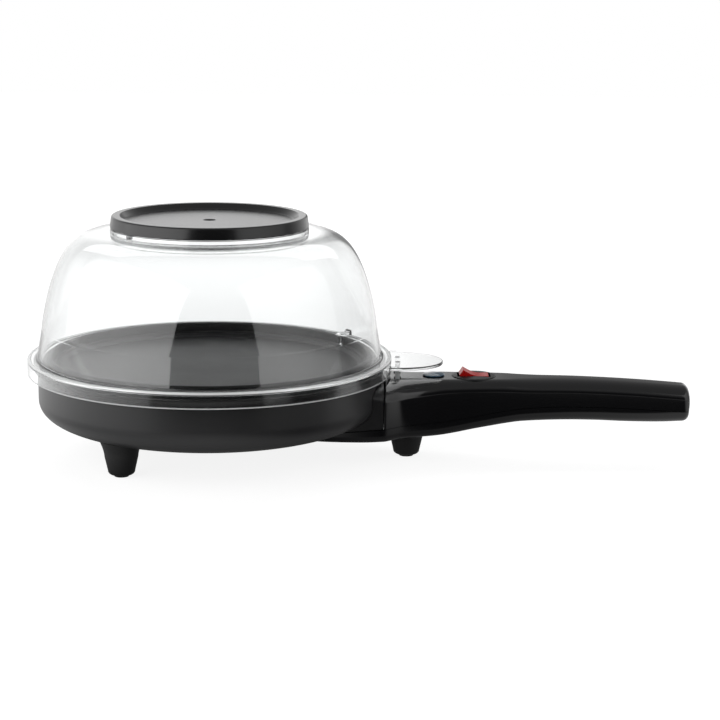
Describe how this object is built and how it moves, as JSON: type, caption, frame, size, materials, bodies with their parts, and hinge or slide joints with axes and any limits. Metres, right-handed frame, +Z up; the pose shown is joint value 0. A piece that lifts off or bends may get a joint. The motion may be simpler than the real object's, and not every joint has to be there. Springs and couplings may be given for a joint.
{
  "type": "electric skillet",
  "caption": "Electric skillet: round non-stick pan in a dark housing on feet, a clear lift-off dome with a press-on cap, and a long handle that holds a rocker switch and a lamp.",
  "frame": {"origin": "centre of the whole object's footprint, on the table that it stands on", "axes": "+X runs from the pan along the handle to its free end, +Z up, +Y to the far side when the handle is on the right"},
  "size_m": [0.4396, 0.2408, 0.1614],
  "materials": {
    "bowl_plastic": "satin black, heat-resistant",
    "handle_plastic": "glossy black",
    "foot_plastic": "matt black",
    "pad_rubber": "black rubber",
    "clear_plastic": "clear, polished",
    "cap_plastic": "fine matt, dark grey-black",
    "nonstick": "dark grey non-stick coat on cast aluminium",
    "rocker_red": "translucent red",
    "lens_blue": "translucent blue-grey",
    "neon_glass": "clear glass bulb",
    "element_steel": "annealed steel sheath",
    "shield_aluminium": "bare sheet",
    "screw_steel": "zinc-plated",
    "ceramic": "off-white, heat-resistant",
    "wire_brown": "brown sleeve",
    "wire_blue": "blue sleeve",
    "wire_green": "green and yellow sleeve"
  },
  "bodies": {
    "base": {"bowl_housing": "bowl_plastic", "handle_neck": "bowl_plastic", "handle_shell": "handle_plastic", "handle_cover": "handle_plastic", "switch_bezel": "handle_plastic", "foot_front": "foot_plastic", "foot_rear": "foot_plastic", "foot_handle": "foot_plastic", "switch_body": "foot_plastic", "foot_pad_front": "pad_rubber", "foot_pad_rear": "pad_rubber", "foot_pad_handle": "pad_rubber", "cord_bush": "pad_rubber", "cooking_plate": "nonstick", "lamp_lens": "lens_blue", "neon_lamp": "neon_glass", "thermal_fuse": "ceramic", "thermostat": "ceramic", "terminal_block": "ceramic", "element_pin_live": "ceramic", "element_pin_neutral": "ceramic", "heating_element": "element_steel", "heat_shield": "shield_aluminium", "element_clamp": "shield_aluminium", "wire_live_in": "wire_brown", "wire_switched_live": "wire_brown", "wire_fuse": "wire_brown", "wire_element": "wire_brown", "wire_lamp_live": "wire_brown", "wire_neutral": "wire_blue", "wire_lamp_neutral": "wire_blue", "wire_earth": "wire_green", "foot_screw_front": "screw_steel", "foot_screw_rear": "screw_steel", "foot_screw_handle": "screw_steel", "base_screw": "screw_steel", "cover_screw": "screw_steel", "neck_screw_front": "screw_steel", "neck_screw_rear": "screw_steel", "clamp_screw_1": "screw_steel", "clamp_screw_2": "screw_steel", "clamp_screw_3": "screw_steel", "thermostat_screw_1": "screw_steel", "thermostat_screw_2": "screw_steel"},
    "rocker": {"switch_rocker": "rocker_red"},
    "lid": {"dome_lid": "clear_plastic"},
    "cap": {"top_cap": "cap_plastic"}
  },
  "joints": [
    {"name": "rocker_tilt", "type": "hinge", "parent": "base", "child": "rocker", "pos_m": [0.07595, 0, 0.0529], "axis": [0, -1, 0], "range_deg": [0, 26]},
    {"name": "lid_lift", "type": "slide", "parent": "base", "child": "lid", "axis": [0, 0, 1], "range_m": [0, 0.12]},
    {"name": "cap_lift", "type": "slide", "parent": "lid", "child": "cap", "axis": [0, 0, 1], "range_m": [0, 0.05]}
  ]
}
